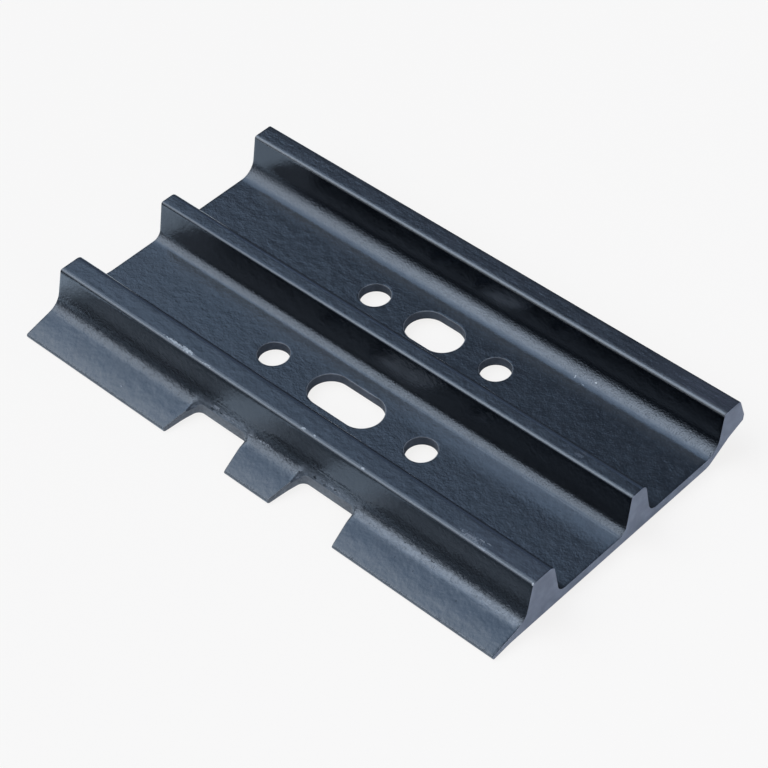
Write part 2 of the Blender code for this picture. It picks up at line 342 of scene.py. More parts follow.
def paintZones(tree, place):  # how far a point belongs to each part of the rolled section
    x, y, z = addNode(tree, "ShaderNodeSeparateXYZ", {0: place}).outputs
    facing = addNode(tree, "ShaderNodeTexCoord").outputs["Normal"]
    toFront = calc(tree, "MULTIPLY", addNode(tree, "ShaderNodeSeparateXYZ", {0: facing}).outputs["Y"], -1.0)

    def within(value, zone):
        return ramp(tree, value, *zoneRuns[zone])

    def product(first, *others):
        for other in others:
            first = calc(tree, "MULTIPLY", first, other)
        return first

    turning = product(within(toFront, "turn away from top"), within(toFront, "turn short of front"))
    low, high = within(z, "fillet z"), within(z, "crest z")
    band = tail = 0.0
    # painted highlight bands along the crests' leading edges
    for start, full, end, leftShare in crestEdges:
        strip = product(ramp(tree, y, start - crestLead, start), ramp(tree, y, start + end, start + full))
        band = calc(tree, "MAXIMUM", product(strip, ramp(tree, x, *leftRun, leftShare, 1.0), high), band)
    # painted sheen on the crests' rear rims
    for middle in crestTails:
        away = calc(tree, "ABSOLUTE", calc(tree, "SUBTRACT", y, middle))
        tail = calc(tree, "MAXIMUM", product(ramp(tree, away, *crestTailReach), high), tail)
    # painted sheen on the fillets, strongest on the front one towards the right
    filletSheen = product(within(y, "front sheen y"), within(y, "front sheen end y"), within(x, "front sheen x"))
    for start, end, amount, leftShare in sheenedFillets:
        strip = product(ramp(tree, y, *start), ramp(tree, y, *end, 0.0, amount))
        filletSheen = calc(tree, "MAXIMUM", product(strip, ramp(tree, x, *leftRun, leftShare, 1.0), low), filletSheen)
    # the painted sheen goes on across the back of each notch
    fromNotch = calc(tree, "ABSOLUTE", calc(tree, "SUBTRACT", calc(tree, "ABSOLUTE", x), notches["gap"] / 2))
    strip = product(within(fromNotch, "notch back x"), within(y, "notch back y"))
    filletSheen = calc(tree, "MAXIMUM", product(strip, within(y, "notch back end y")), filletSheen)
    # a painted shade: round this patch valley one is darker, as dust and cloud are left out there
    wires = {0: place, 1: Vector(paint["shade patch middle"])}
    offset = addNode(tree, "ShaderNodeVectorMath", wires, operation="SUBTRACT").outputs[0]
    wires = {0: offset, 1: Vector(paint["shade patch reach"])}
    share = addNode(tree, "ShaderNodeVectorMath", wires, operation="DIVIDE").outputs[0]
    away = addNode(tree, "ShaderNodeVectorMath", {0: share}, operation="LENGTH").outputs["Value"]
    shadePatch = ramp(tree, away, *paint["shade patch edge"])
    fillet, valley = product(turning, low), product(within(z, "valley z"), within(y, "valley y"))
    face = product(within(z, "face z"), calc(tree, "SUBTRACT", 1.0, high))
    return {
        "lip": within(y, "lip y"),
        "valley": valley,
        "front valley": product(valley, calc(tree, "SUBTRACT", 1.0, within(y, "rear half y"))),
        "front crest": product(high, within(y, "front crest y")),
        "rear face": product(face, within(y, "rear grouser y")),
        "right crest": product(high, within(x, "right x")),
        "fillet": fillet,
        "front fillet": product(fillet, within(y, "front fillet y")),
        "crest edge": product(turning, high),
        "crest": product(high, within(toFront, "turn of crest")),
        "rear grouser": within(y, "rear grouser y"),
        "rear half": within(y, "rear half y"),
        "sheened fillet zone": filletSheen,
        "tip": within(y, "tip y"),
        "edge highlight band": band,
        "tail sheen band": tail,
        "outsideShadePatch": calc(tree, "SUBTRACT", 1.0, shadePatch),
    }


def shineTurn(tree, place, name):  # how far a slow turn has risen, between 0 and 1, and its height
    x, y, z = addNode(tree, "ShaderNodeSeparateXYZ", {0: place}).outputs
    run, height = shineTurns[name]
    if name != "valley rise":
        return ramp(tree, y, *run), height
    rise = calc(tree, "POWER", ramp(tree, y, *run, smooth=False), valleyRise["power"])
    return calc(tree, "MULTIPLY", rise, ramp(tree, x, *valleyRise["x"])), height


def swing(tree, field, zones, gains):  # a noise about zero, stronger or weaker in each zone by its gain
    strength = 1.0
    for zone, gain in gains.items():
        strength = calc(tree, "ADD", strength, calc(tree, "MULTIPLY", zones[zone], gain))
    return calc(tree, "MULTIPLY", calc(tree, "SUBTRACT", field, 0.5), strength)


def paintShade(tree, zones, noises, masks):  # the paint's colour, from its plain coat up to its chips
    def layer(mask, colour):
        return blend(tree, mask, shade, paint[colour])

    def spread(noiseName, spreadName):
        return ramp(tree, noises[noiseName], *paintSpreads[spreadName])

    def wear(noiseName, kind):
        rear = calc(tree, "MULTIPLY", zones["rear grouser"], paint[kind + " rear gain"])
        share = calc(tree, "ADD", rear, paint[kind + " share"])
        return calc(tree, "MULTIPLY", share, spread(noiseName, kind))

    shade = blend(tree, spread("tone", "tone"), paint["colour"], paint["faded"])
    # dust and cloud lie on the valleys outside the painted shade patch
    outsideShadePatch = calc(tree, "MULTIPLY", zones["valley"], zones["outsideShadePatch"])
    shade = layer(calc(tree, "MULTIPLY", outsideShadePatch, spread("cloud", "cloud")), "cloud")
    shade = layer(calc(tree, "MULTIPLY", outsideShadePatch, spread("speckle", "dust")), "dust")
    # painted sheen on the fillets and across the backs of the notches
    shade = layer(calc(tree, "MULTIPLY", zones["sheened fillet zone"], spread("smear", "smear")), "fillet sheen")
    shade = layer(zones["tip"], "tip wear")
    # the rear crest, and less the front crest, turn a lighter purple-grey towards their right ends
    front = calc(tree, "MULTIPLY", zones["front crest"], paint["front crest tint share"])
    rightTint = calc(tree, "MULTIPLY", zones["right crest"], calc(tree, "ADD", zones["rear grouser"], front))
    shade = layer(rightTint, "right crest tint")
    # streaky crest wear, with a painted sheen that is stronger on the rear crest
    shade = layer(calc(tree, "MULTIPLY", zones["crest"], wear("streak", "crest wear")), "streaked crest with sheen")
    # wear and painted highlight on the crests' rounded edges
    shade = layer(calc(tree, "MULTIPLY", zones["crest edge"], wear("speckle", "edge wear")), "bare edge with highlight")
    # painted sheen on the crests' rear rims, which narrows the dark line there
    shade = layer(zones["tail sheen band"], "tail sheen colour")
    # painted highlight that widens the shine of the leading crest edges
    shade = layer(calc(tree, "MULTIPLY", zones["edge highlight band"], spread("speckle", "edge highlight spread")), "bare edge with highlight")
    for kind, mask in masks.items():
        shade = layer(mask, kind)
    return shade


def paintBumps(tree, place, zones, noises, pits):
    bumps = None
    for name in shineTurns:
        bumps = bump(tree, *shineTurn(tree, place, name), bumps)
    for name, gains in zoneGains.items():
        bumps = bump(tree, swing(tree, noises[name], zones, gains), paint[name + " depth"], bumps)
    streaks = calc(tree, "MULTIPLY", noises["streak"], zones["crest"])
    bumps = bump(tree, streaks, paint["streak depth"], bumps)
    return bump(tree, calc(tree, "SUBTRACT", 1.0, pits), paint["pit depth"], bumps)


def blackPaint():
    material, tree, shader, place = newMaterial("blackPaint")
    zones = paintZones(tree, place)
    noises = {name: noise(tree, place, *settings) for name, settings in paintNoises.items()}
    masks = {kind: markMask(tree, place, kind, noises[name]) for kind, name in markNoises.items()}
    tree.links.new(paintShade(tree, zones, noises, masks), shader.inputs["Base Color"])
    low, high = paint["roughness"] - paint["roughness swing"], paint["roughness"] + paint["roughness swing"]
    smoother = calc(tree, "MULTIPLY", zones["rear half"], paint["rear smoothness"])
    rough = calc(tree, "SUBTRACT", ramp(tree, noises["patch"], *paintSpreads["patch"], low, high), smoother)
    tree.links.new(rough, shader.inputs["Roughness"])
    shader.inputs["Specular Tint"].default_value = paint["sheen tint"]
    shader.inputs["Specular IOR Level"].default_value = paint["gloss"]
    tree.links.new(paintBumps(tree, place, zones, noises, masks["pit"]), shader.inputs["Normal"])
    return material


def cutPaint(name, dark, light, size):
    material, tree, shader, place = newMaterial(name)
    mottle = ramp(tree, noise(tree, place, size, cutSurface["mottle detail"]), *cutSurface["mottle spread"])
    tree.links.new(blend(tree, mottle, dark, light), shader.inputs["Base Color"])
    shader.inputs["Roughness"].default_value = cutSurface["roughness"]
    stria = noise(tree, place, *cutSurface["stria"])
    tree.links.new(bump(tree, stria, cutSurface["stria depth"]), shader.inputs["Normal"])
    return material


blackPaintLook = blackPaint()
cutPaints = {name: cutPaint(name, *settings) for name, settings in cutLooks.items()}
print("materials made")


# The section outline comes from the CAD node's right end, so the shoe made here is the frame's own size

bar = {
    "crop softening": 0.28 * mm,
    "softening steps": 3,
    "pitch": 1.5 * mm,
    "outline pitch": 1.5 * mm,
    "underside pitch": 4.0 * mm,
    "shortest edge": 0.28 * mm,
    "weld": 0.002 * mm,
    "end depth": 0.01 * mm,
    "underside z": 0.5 * mm,
    "swell full y": -53.55 * mm,
    "swell run": 12.0 * mm,
    "swell fade": 9.0 * mm,
}
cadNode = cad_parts["track_shoe"]
halfLength = cadHigh.x
leftSwell = -cadLow.x - halfLength


def endOutline(node):
    steel = bmesh.new()
    steel.from_mesh(node.data)
    bmesh.ops.remove_doubles(steel, verts=steel.verts, dist=bar["weld"])
    end = {face for face in steel.faces if face.calc_center_median().x > halfLength - bar["end depth"]}
    rim = [edge for edge in steel.edges if len(end.intersection(edge.link_faces)) == 1]
    neighbours = {}
    for edge in rim:
        first, second = edge.verts
        neighbours.setdefault(first, []).append(second)
        neighbours.setdefault(second, []).append(first)
    start = min(neighbours, key=lambda vert: vert.co.y)
    walked = [start, neighbours[start][0]]
    while walked[-1] is not start:
        one, other = neighbours[walked[-1]]
        walked.append(other if one is walked[-2] else one)
    outline = [Vector((vert.co.y, vert.co.z)) for vert in walked[:-1]]
    steel.free()
    area = sum(a.x * b.y - b.x * a.y for a, b in zip(outline, outline[1:] + outline[:1]))
    return outline if area > 0 else outline[::-1]


def evenedOutline(outline):
    kept = [outline[0]]
    for point in outline[1:]:
        if (point - kept[-1]).length > bar["shortest edge"]:
            kept.append(point)
    evened = []
    for point, after in zip(kept, kept[1:] + kept[:1]):
        under = max(point.y, after.y) < bar["underside z"] and (after - point).length > bar["underside pitch"]
        pitch = bar["underside pitch"] if under else bar["outline pitch"]
        steps = max(1, ceil((after - point).length / pitch))
        evened += [point.lerp(after, step / steps) for step in range(steps)]
    return evened


def inwardTurn(outline, index):
    along = outline[(index + 1) % len(outline)] - outline[index - 1]
    return Vector((-along.y, along.x)).normalized()


def looseMesh(name, points, edges, attributes=()):
    mesh = bpy.data.meshes.new(name)
    mesh.from_pydata(points, edges, [])
    for label, kind, key, values in attributes:
        layer = mesh.attributes.new(label, kind, "POINT")
        layer.data.foreach_set(key, values)
    thing = bpy.data.objects.new(name, mesh)
    bpy.context.scene.collection.objects.link(thing)
    return thing


def profileObject(outline):  # lies in its own XY plane, as a swept profile has to
    count = len(outline)
    inward = [inwardTurn(outline, index) for index in range(count)]
    points = [(-point.x, -point.y, 0) for point in outline]
    edges = [(index, (index + 1) % count) for index in range(count)]
    flat = [value for turn in inward for value in (0, turn.x, turn.y)]
    return looseMesh("sectionProfile", points, edges, [("inward", "FLOAT_VECTOR", "vector", flat)])


def pathObject():
    soft = bar["crop softening"]
    turns = [pi / 2 * step / bar["softening steps"] for step in range(bar["softening steps"] + 1)]
    fromEnd = [soft * (1 - cos(turn)) for turn in turns]
    middle = ceil(2 * (halfLength - soft) / bar["pitch"])
    stations = [-halfLength + run for run in fromEnd]
    stations += [(halfLength - soft) * (2 * step / middle - 1) for step in range(1, middle)]
    stations += [halfLength - run for run in reversed(fromEnd)]
    points = [(x, 0, 0) for x in stations]
    return looseMesh("sweepPath", points, [(step, step + 1) for step in range(len(points) - 1)])


outline = endOutline(cadNode)
profile = profileObject(evenedOutline(outline))
path = pathObject()
print("section outline:", len(outline), "points from the frame,", len(profile.data.vertices), "evened")


# Punches: four bolt holes, two mud slots and the two notches of the lip

def skinHeights(outline, facing):  # (y, z) points of the lip's top skin or underside, sorted along Y
    turned = [-inwardTurn(outline, index).y * facing for index in range(len(outline))]
    skin = [point for point, turn in zip(outline, turned) if turn > notches["skin turn"]]
    return sorted((point.x, point.y) for point in skin if point.x < notches["skin y"])


def heightAt(skin, y):
    for (y0, z0), (y1, z1) in zip(skin, skin[1:]):
        if y0 <= y <= y1:
            return z0 + (z1 - z0) * (y - y0) / (y1 - y0) if y1 > y0 else z0
    return skin[0][1] if y < skin[0][0] else skin[-1][1]


def roundedSlot(centre, length, width, growth):
    radius = width / 2 + growth
    half = (length - width) / 2
    points = []
    for side, start in ((1, -pi / 2), (-1, pi / 2)):
        for step in range(punches["facets"] + 1):
            turn = start + pi * step / punches["facets"]
            points.append((centre[0] + side * half + radius * cos(turn), centre[1] + radius * sin(turn)))
        if not half:
            points.pop()
    return points


def notchSide(growth, fullness, slant):  # one corner of a notch and its side wall, as seen at its right
    mouthY = cadLow.y - punches["overrun"]
    backY = notches["back y"] + growth
    backHalf = notches["back width"] / 2 - fullness + growth / cos(slant)
    mouthHalf = backHalf + (backY - mouthY) * tan(slant)
    radius = notches["corner radius"] + growth
    turned = pi / 2 + slant  # inside angle at the back corner
    centre = Vector((backHalf - radius / tan(turned / 2), backY - radius))
    steps = notches["corner steps"]
    turns = [pi / 2 - (pi - turned) * step / steps for step in range(steps + 1)]
    arc = [centre + Vector((cos(turn), sin(turn))) * radius for turn in turns]
    mouth = Vector((mouthHalf, mouthY))
    steps = ceil(abs(mouthY - notches["back y"]) / notches["straight pitch"])
    return arc + [arc[-1].lerp(mouth, step / steps) for step in range(1, steps + 1)]


def notchOutline(centreX, growth):
    depth = notches["back y"] - cadLow.y
    fuller = atan(tan(notches["slant"]) + notches["right fullness"] / depth)
    right = notchSide(growth, notches["right fullness"], fuller)
    left = [Vector((-point.x, point.y)) for point in reversed(notchSide(growth, 0.0, notches["slant"]))]
    steps = ceil(notches["back width"] / notches["straight pitch"])
    back = [left[-1].lerp(right[0], step / steps) for step in range(1, steps)]
    return [(centreX + point.x, point.y) for point in left + back + right]


def notchRings(centreX, under, top):  # its rim is well rolled over at the back, and hardly at the thin sides
    growth = notches["growth step"]
    plain, grown = notchOutline(centreX, 0.0), notchOutline(centreX, growth)
    low, high = notches["rollover y"]
    soft = notches["edge softening"]
    radii = [soft + (notches["rollover"] - soft) * min(max((y - low) / (high - low), 0), 1) for x, y in plain]

    def ring(outs, height):
        points = []
        for (x, y), (gx, gy), out, radius in zip(plain, grown, outs, radii):
            px, py = x + (gx - x) * out / growth, y + (gy - y) * out / growth
            points.append((px, py, height(py, radius)))
        return points

    edge = soft / 2
    rings = [ring([edge] * len(plain), lambda y, radius: heightAt(under, y) - punches["overrun"])]
    for out, climb in reversed(flareSteps(edge)):
        rings.append(ring([out] * len(plain), lambda y, radius: heightAt(under, y) + edge - climb))
    for out, climb in flareSteps(1.0):
        outs = [radius * out for radius in radii]
        rings.append(ring(outs, lambda y, radius: heightAt(top, y) - radius + radius * climb))
    rings.append(ring(radii, lambda y, radius: heightAt(top, y) + punches["overrun"]))
    return rings


def stackRings(steel, rings):
    loops = [[steel.verts.new(point) for point in ring] for ring in rings]
    for lower, upper in zip(loops, loops[1:]):
        for i in range(len(lower)):
            steel.faces.new((lower[i - 1], lower[i], upper[i], upper[i - 1]))
    steel.faces.new(loops[0])
    steel.faces.new(loops[-1])


def flareSteps(radius, steps=4):  # (outward, towards the skin) of a quarter round
    turns = [pi / 2 * step / steps for step in range(steps + 1)]
    return [(radius * (1 - cos(turn)), radius * sin(turn)) for turn in turns]


def punchRings(shape, bottomSkin, topSkin, topRadius, bottomRadius):
    levels = [(bottomRadius, lambda y: bottomSkin(y) - punches["overrun"])]
    for out, climb in reversed(flareSteps(bottomRadius)):
        levels.append((out, lambda y, climb=climb: bottomSkin(y) + bottomRadius - climb))
    for out, climb in flareSteps(topRadius):
        levels.append((out, lambda y, climb=climb: topSkin(y) - topRadius + climb))
    levels.append((topRadius, lambda y: topSkin(y) + punches["overrun"]))
    return [[(x, y, height(y)) for x, y in shape(out)] for out, height in levels]


def punchObject(outline):
    steel = bmesh.new()
    plate = punches["plate"]
    for row in punches["rows"].values():
        holes = [(x * row["bolt gap"] / 2, punches["hole width"], punches["hole width"]) for x in (-1, 1)]
        holes.append((0, row["slot length"], punches["slot width"]))
        for x, length, width in holes:
            def shape(growth, x=x, length=length, width=width):
                return roundedSlot((x, row["y"]), length, width, growth)
            rings = punchRings(shape, lambda y: 0, lambda y: plate, punches["rollover"], punches["burr edge"])
            stackRings(steel, rings)
    top, under = skinHeights(outline, 1), skinHeights(outline, -1)
    holeFaces = len(steel.faces)
    for side in (-1, 1):
        stackRings(steel, notchRings(side * notches["gap"] / 2, under, top))
    bmesh.ops.recalc_face_normals(steel, faces=steel.faces)
    steel.faces.ensure_lookup_table()
    looks = "notchPaint", "punchedPaint", "rimHighlightPaint"
    for number, face in enumerate(steel.faces):
        rounded = abs(face.normal.z) > punches["rounded turn"]
        look = "rimHighlightPaint" if rounded else "punchedPaint"  # a lighter paint on the rims of holes and slots, a painted highlight
        face.material_index = looks.index(look)
        if number >= holeFaces:  # round the back of a notch the rolled skin bends down with its black paint
            middle = face.calc_center_median()
            skin = rounded and middle.y > notches["rollover y"][0] and middle.z > plate / 2
            face.material_index = len(looks) if skin else looks.index("notchPaint")
    mesh = bpy.data.meshes.new("punchSet")
    steel.to_mesh(mesh)
    steel.free()
    for look in looks:
        mesh.materials.append(cutPaints[look])
    mesh.materials.append(blackPaintLook)
    thing = bpy.data.objects.new("punchSet", mesh)
    bpy.context.scene.collection.objects.link(thing)
    return thing


punchSet = punchObject(outline)
print("punches made")


# Geometry Nodes sweep the section, soften and swell its cropped ends, punch it and roll its surface

relief = {
    "detail": 2.0,
    "wave height": 0.10 * mm,
    "wave size": 38 * mm,
    "ripple height": 0.05 * mm,
    "ripple size": 7 * mm,
    "dish depth": 0.30 * mm,
    "dish y": (-92 * mm, -73 * mm),
    "dish fade y": (-70 * mm, -75 * mm),
    "dish facing": (0.1, 0.6),
    "sharp angle": radians(38),
    "cropped turn": 0.35,
    "cropped depth": 1 * mm,
}


def shoeTree():
    tree = bpy.data.node_groups.new("rolledShoe", "GeometryNodeTree")
    sockets = (
        ("Geometry", "Geometry"), ("Path", "Object"), ("Punches", "Object"), ("Half Length", "Float"),
        ("Crop Softening", "Float"), ("Swell", "Float"), ("Swell Start", "Float"), ("Swell Run", "Float"),
        ("Swell Fade", "Float"), ("Wave Height", "Float"), ("Wave Size", "Float"), ("Ripple Height", "Float"),
        ("Ripple Size", "Float"), ("Sharp Angle", "Float"), ("Dish Depth", "Float"), ("Paint", "Material"),
        ("Sheared And Lit", "Material"),
    )
    for name, kind in sockets:
        tree.interface.new_socket(name, in_out="INPUT", socket_type="NodeSocket" + kind)
    tree.interface.new_socket("Geometry", in_out="OUTPUT", socket_type="NodeSocketGeometry")
    given = addNode(tree, "NodeGroupInput").outputs

    ring = addNode(tree, "GeometryNodeMeshToCurve", {"Mesh": given["Geometry"]}).outputs[0]
    pathMesh = addNode(tree, "GeometryNodeObjectInfo", {"Object": given["Path"]}).outputs["Geometry"]
    line = addNode(tree, "GeometryNodeMeshToCurve", {"Mesh": pathMesh}).outputs[0]
    level = addNode(tree, "GeometryNodeSetCurveNormal", {"Curve": line}, mode="Z_UP").outputs[0]
    wires = {"Curve": level, "Profile Curve": ring, "Fill Caps": True}
    swept = addNode(tree, "GeometryNodeCurveToMesh", wires).outputs[0]

    spot = addNode(tree, "GeometryNodeInputPosition").outputs[0]
    x, y, z = addNode(tree, "ShaderNodeSeparateXYZ", {0: spot}).outputs
    radius = given["Crop Softening"]
    fromEnd = calc(tree, "SUBTRACT", given["Half Length"], calc(tree, "ABSOLUTE", x))
    rise = calc(tree, "MAXIMUM", calc(tree, "SUBTRACT", radius, fromEnd), 0.0)
    square = calc(tree, "MULTIPLY", radius, radius)
    square = calc(tree, "SUBTRACT", square, calc(tree, "MULTIPLY", rise, rise))
    inset = calc(tree, "SUBTRACT", radius, calc(tree, "SQRT", calc(tree, "MAXIMUM", square, 0.0)))
    wires = {"Name": "inward"}
    inward = addNode(tree, "GeometryNodeInputNamedAttribute", wires, data_type="FLOAT_VECTOR").outputs[0]
    move = addNode(tree, "ShaderNodeVectorMath", {0: inward, "Scale": inset}, operation="SCALE").outputs[0]
    softened = addNode(tree, "GeometryNodeSetPosition", {"Geometry": swept, "Offset": move}).outputs[0]

    grown = calc(tree, "DIVIDE", calc(tree, "SUBTRACT", given["Swell Start"], y), given["Swell Run"])
    grown = calc(tree, "MINIMUM", calc(tree, "MAXIMUM", grown, 0.0), 1.0)
    leftRun = calc(tree, "DIVIDE", calc(tree, "ADD", given["Half Length"], x), given["Swell Fade"])
    faded = calc(tree, "SUBTRACT", 1.0, calc(tree, "MINIMUM", leftRun, 1.0))
    leftward = calc(tree, "MULTIPLY", given["Swell"], -1.0)
    push = calc(tree, "MULTIPLY", leftward, calc(tree, "MULTIPLY", grown, faded))
    outward = addNode(tree, "ShaderNodeCombineXYZ", {"X": push}).outputs[0]
    swollen = addNode(tree, "GeometryNodeSetPosition", {"Geometry": softened, "Offset": outward}).outputs[0]
    wires = {"Geometry": swollen, "Material": given["Paint"]}
    painted = addNode(tree, "GeometryNodeSetMaterial", wires).outputs[0]

    tools = addNode(tree, "GeometryNodeObjectInfo", {"Object": given["Punches"]}).outputs["Geometry"]
    cut = addNode(tree, "GeometryNodeMeshBoolean", operation="DIFFERENCE", solver="EXACT")
    tree.links.new(painted, cut.inputs[0])
    tree.links.new(tools, cut.inputs[1])

    surface = addNode(tree, "GeometryNodeInputNormal").outputs[0]
    heights = []
    for height, size in (("Wave Height", "Wave Size"), ("Ripple Height", "Ripple Size")):
        scale = calc(tree, "DIVIDE", 1.0, given[size])
        field = addNode(tree, "ShaderNodeTexNoise", {"Scale": scale, "Detail": relief["detail"]}).outputs[0]
        heights.append(calc(tree, "MULTIPLY", calc(tree, "SUBTRACT", field, 0.5), given[height]))
    lift = calc(tree, "MINIMUM", calc(tree, "ADD", *heights), 0.0)  # never proud of the CAD box
    along = addNode(tree, "ShaderNodeVectorMath", {0: surface, "Scale": lift}, operation="SCALE").outputs[0]
    waved = addNode(tree, "GeometryNodeSetPosition", {"Geometry": cut.outputs[0], "Offset": along}).outputs[0]

    # The lip's top sinks a little towards its root
    normalX, normalY, normalZ = addNode(tree, "ShaderNodeSeparateXYZ", {0: surface}).outputs
    sunk = calc(tree, "MULTIPLY", ramp(tree, y, *relief["dish y"]), ramp(tree, y, *relief["dish fade y"]))
    sunk = calc(tree, "MULTIPLY", sunk, ramp(tree, normalZ, *relief["dish facing"]))
    sink = calc(tree, "MULTIPLY", calc(tree, "MULTIPLY", sunk, given["Dish Depth"]), -1.0)
    down = addNode(tree, "ShaderNodeCombineXYZ", {"Z": sink}).outputs[0]
    rolled = addNode(tree, "GeometryNodeSetPosition", {"Geometry": waved, "Offset": down}).outputs[0]

    turn = addNode(tree, "GeometryNodeInputMeshEdgeAngle").outputs[0]
    wires = {0: turn, 1: given["Sharp Angle"]}
    sharp = addNode(tree, "FunctionNodeCompare", wires, operation="GREATER_THAN").outputs[0]
    wires = {"Geometry": rolled, "Shade Smooth": True}
    smooth = addNode(tree, "GeometryNodeSetShadeSmooth", wires).outputs[0]
    wires = {"Geometry": smooth, "Selection": sharp, "Shade Smooth": False}
    edged = addNode(tree, "GeometryNodeSetShadeSmooth", wires, domain="EDGE").outputs[0]
    real = addNode(tree, "GeometryNodeRealizeInstances", {"Geometry": edged}).outputs[0]
    # the cropped ends take the sheared paint, lighter partly as painted light from the right
    cropped = calc(tree, "GREATER_THAN", calc(tree, "ABSOLUTE", normalX), relief["cropped turn"])
    atEnd = calc(tree, "LESS_THAN", fromEnd, relief["cropped depth"])
    cropped = calc(tree, "MULTIPLY", cropped, atEnd)
    wires = {"Geometry": real, "Selection": cropped, "Material": given["Sheared And Lit"]}
    finished = addNode(tree, "GeometryNodeSetMaterial", wires).outputs[0]
    addNode(tree, "NodeGroupOutput", {"Geometry": finished})
    return tree


def setInputs(modifier, values):
    for item in modifier.node_group.interface.items_tree:
        if item.item_type == "SOCKET" and item.in_out == "INPUT" and item.name in values:
            modifier[item.identifier] = values[item.name]


def makeShoe():
    maker = profile.modifiers.new("rolledShoe", "NODES")
    maker.node_group = shoeTree()
    swellStart = bar["swell full y"] + bar["swell run"]
    setInputs(maker, {
        "Path": path, "Punches": punchSet, "Half Length": halfLength, "Crop Softening": bar["crop softening"],
        "Swell": leftSwell, "Swell Start": swellStart,
        "Swell Run": bar["swell run"], "Swell Fade": bar["swell fade"],
        "Wave Height": relief["wave height"], "Wave Size": relief["wave size"],
        "Ripple Height": relief["ripple height"], "Ripple Size": relief["ripple size"],
        "Dish Depth": relief["dish depth"], "Sharp Angle": relief["sharp angle"],
        "Paint": blackPaintLook, "Sheared And Lit": cutPaints["shearedAndLitPaint"],
    })
    bpy.context.view_layer.update()
    evaluated = profile.evaluated_get(bpy.context.evaluated_depsgraph_get())
    mesh = bpy.data.meshes.new_from_object(evaluated)
    shoe = bpy.data.objects.new("trackShoe", mesh)
    bpy.context.scene.collection.objects.link(shoe)
    for helper in (profile, path, punchSet):
        bpy.data.objects.remove(helper, do_unlink=True)
    return shoe


shoe = makeShoe()
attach(shoe, "root")
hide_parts("track_shoe")
print("shoe made:", len(shoe.data.vertices), "vertices,", [m.name for m in shoe.data.materials if m])


# Floor, light and camera

studio = {
    "floor z": cadLow.z,
    "floor size": 12.0,
    "floor colour": (0.84, 0.84, 0.85, 1),
    "floor roughness": 0.9,
    "paper white": (0.984, 0.976, 0.967, 1),
    "paper glint": (0.95, 1.08, 1.20, 1),
    "paper share": 0.85,
    "paper lit y": (-0.072, -0.078),
    "paper front level": 0.28,
    "paper front fade": (-0.130, -0.100, 0.5, 1.0),
    "notch light x": (-0.046, 0.024),
    "notch light half": (0.023, 0.009),
    "paper left x": (-0.152, -0.184),
    "paper left x behind": (-0.152, -0.166),
    "paper left behind y": (-0.060, -0.040),
    "paper left end x": (-0.220, -0.195),
    "paper left gain": 0.7,
    "paper far run": (-0.004, 0.022),
    "paper far left run": 0.006,
    "far colour": (0.09, 0.10, 0.11, 1),
    "backdrop": (0.93, 0.93, 0.93, 1),
    "air low": (0.115, 0.145, 0.190, 1),
    "air high": (0.20, 0.235, 0.290, 1),
    "air run": (0.0, 0.9),
    "sheet glow": 2.9,
    "sheet colour": (1.0, 0.99, 0.97, 1),
    "sheet rim colour": (0.66, 0.82, 1.0, 1),
    "sheet rim share": 0.42,
    "sheet rim": (radians(51.0), radians(62.5)),
    "sheet back": (radians(55), radians(108)),
    "sheet front": (radians(183), radians(111)),
    "sheet left": (-0.97, -0.70),
    "sheet right": (0.0, -0.32),
    "sheet slant": radians(25),
    "sheet slant x": -0.5,
}
lamps = {
    "sideFill": {
        "from": (0.85, -0.25, 0.45), "along": (0, 1, 0), "distance": 1.5,
        "size": (1.2, 1.0), "radiance": 1.2, "colour": (0.98, 0.97, 1.0),
    },
}
camera = {
    "place": (0.60763, -0.60031, 0.85256),
    "aim": (0.002319, -0.007406, 0.0),
    "roll": radians(-3.34),
    "lens": 119.6,
    "sensor": 36.0,
    "clip start": 0.05,
}


